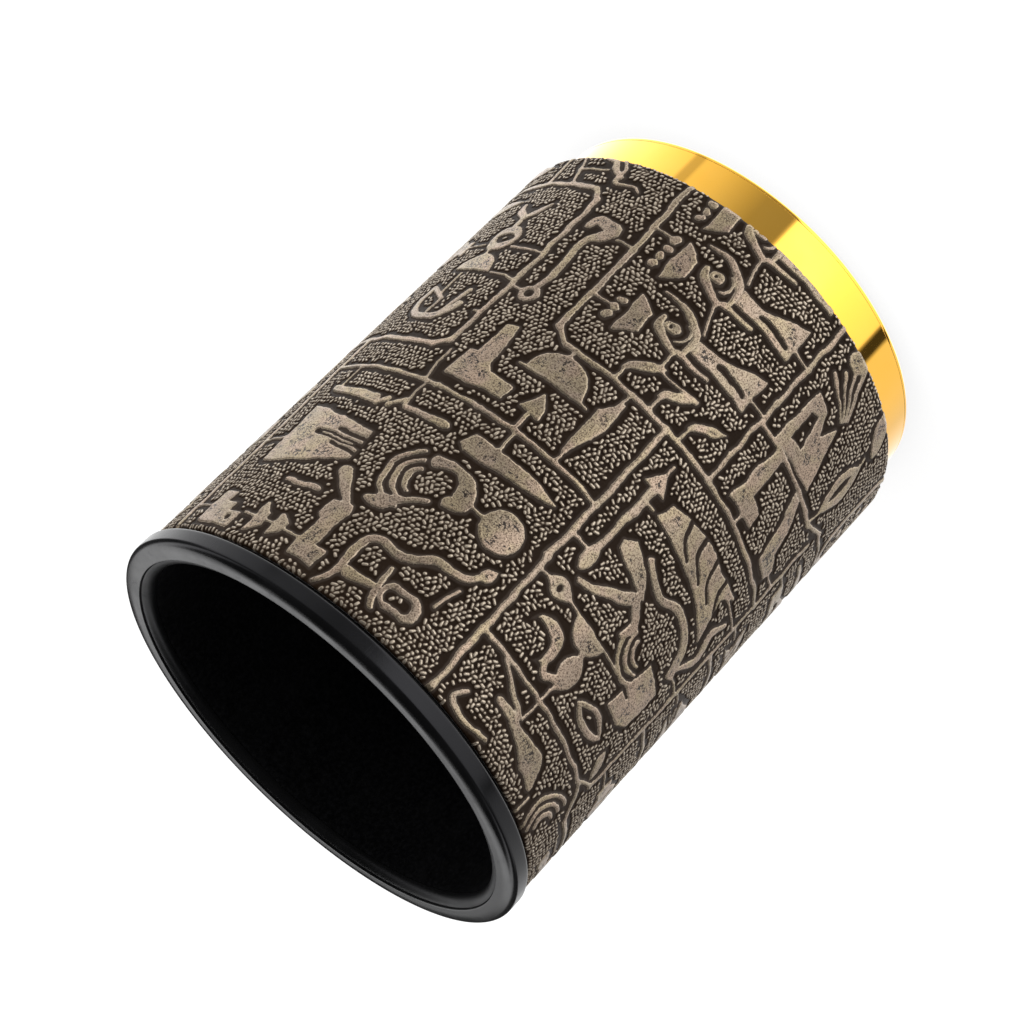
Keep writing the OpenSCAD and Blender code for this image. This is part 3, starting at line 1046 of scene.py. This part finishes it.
def above_horizon(look, x, z, tilt):
    """A bright band, which the face of the rim shows, under a dark ceiling."""
    height = look.math("ADD", z, look.ramp(x, -0.12, 0.12, -0.035, 0.035))
    band = look.degrees_ramp(look.math("ARCSINE", height), 13, 22, 0.06, 1.8)
    ceiling = look.degrees_ramp(tilt, 27, 36, 1.0, 0.02)
    toward = look.vector("DOT_PRODUCT", look.place, (0, -0.42, 0.91), "Value")
    ceiling = look.math("MULTIPLY", ceiling, look.ramp(toward, 0.2, 0.55, 1.0, 0.02))
    return look.math("MULTIPLY", band, ceiling)


def studio_world():
    """Even white light all round. What the gold and the black plastic reflect is a studio of white
    panels with dim and dark gaps between them, laid out by direction."""
    world = bpy.data.worlds.new("studio")
    bpy.context.scene.world = world
    world.use_nodes = True
    look = Nodes(world.node_tree, "Generated")
    x, y, z = look.add("SeparateXYZ", None, Vector=look.place).outputs
    tilt = look.math("ARCSINE", z)
    turn = look.math("ARCTAN2", x, look.math("MULTIPLY", y, -1.0))
    studio = look.mix(look.degrees_ramp(tilt, -6, 4), below_horizon(look, turn, tilt),
                      above_horizon(look, x, z, tilt))
    path = look.add("LightPath").outputs
    colour = look.mix(path["Is Glossy Ray"], rgb(0.62, 0.62, 0.62), studio)
    colour = look.mix(path["Is Camera Ray"], colour, rgb(1.0, 1.0, 1.0))
    look.put(look.tree.nodes["Background"].inputs["Color"], colour)


def panel_light(name, at, size, watts):
    """A soft box that faces the cup."""
    data = bpy.data.lights.new(name, "AREA")
    data.shape, data.size, data.energy = "SQUARE", size, watts
    lamp = bpy.data.objects.new(name, data)
    bpy.context.scene.collection.objects.link(lamp)
    lamp.location = at
    lamp.rotation_euler = (Vector((0, 0, 0.05)) - Vector(at)).to_track_quat("-Z", "Y").to_euler()
    # Shiny surfaces show the studio's panels, not the lamps
    lamp.visible_glossy = False
    lamp.visible_camera = False


def studio_floor():
    mesh = bpy.data.meshes.new("studio_floor")
    half = 6.0
    corners = [(-half, -half, 0), (half, -half, 0), (half, half, 0), (-half, half, 0)]
    mesh.from_pydata(corners, [], [(0, 1, 2, 3)])
    floor = bpy.data.objects.new("studio_floor", mesh)
    floor.data.materials.append(floor_look())
    bpy.context.scene.collection.objects.link(floor)
    floor.visible_glossy = False


def camera():
    """A camera that looks down on the cup, rolled so that its mouth points to the lower left."""
    data = bpy.data.cameras.new("camera")
    data.lens, data.sensor_width = 94.75, 36
    data.clip_start, data.clip_end = 0.01, 20
    eye = bpy.data.objects.new("camera", data)
    bpy.context.scene.collection.objects.link(eye)
    at, aim, roll = Vector((0, -0.3716, 0.2242)), Vector((0.0025, 0, 0.0519)), math.radians(-135.56)
    level = (aim - at).to_track_quat("-Z", "Y").to_matrix()
    eye.matrix_world = Matrix.Translation(at) @ (level @ Matrix.Rotation(roll, 3, "Z")).to_4x4()
    bpy.context.scene.camera = eye


# --- Putting it together ---
camera()
studio_world()
studio_floor()
panel_light("key_light", (0.85, -0.45, 0.5), 0.5, 2.5)
panel_light("back_light", (-0.5, 0.9, 0.5), 0.6, 1.2)
bpy.context.scene.view_settings.view_transform = "Standard"

shell = cup_body(moulded_look("shell_plastic", 0.004, 0.38, 2600))
wrap = leatherette_wrap(leatherette_look())
flannelette = pile_look("flannelette", (0.0016, 0.0016, 0.0018), (0.006, 0.006, 0.0066), 1500)
lining = wall_flannelette(flannelette)
floor_cloth = soft_disc("floor_flannelette", FLOOR_R, FLOOR_LOW_Z, FLOOR_TOP_Z, 0.3 * MM, flannelette,
                        0.03 * MM, 51)
foam = soft_disc("floor_foam", FLOOR_R, FOAM_LOW_Z, FOAM_TOP_Z, 0.5 * MM, foam_look(), 0.02 * MM, 52)
felt_pile = pile_look("felt", (0.006, 0.006, 0.007), (0.03, 0.03, 0.033), 1100)
felt = soft_disc("base_felt", PAD_R, 0.0, PAD_TOP_Z, 0.25 * MM, felt_pile, 0.0, 53)
rim = rim_bead(moulded_look("rim_plastic", 0.0045, 0.19, 3200))
cap = gold_cap(gold_look())
cap.visible_diffuse = False  # or the pale table would take on a yellow glow

for piece, node, slot in (
    (shell, "cup_shell", "shell_plastic"),
    (wrap, "leatherette_wrap", "leatherette"),
    (lining, "wall_lining", "flannelette"),
    (floor_cloth, "floor_lining", "flannelette"),
    (foam, "floor_pad", "foam"),
    (felt, "base_pad", "felt"),
    (rim, "rim_ring", "rim_plastic"),
    (cap, "base_cap", "gold_plate"),
):
    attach(piece, "root")
    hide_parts(node)
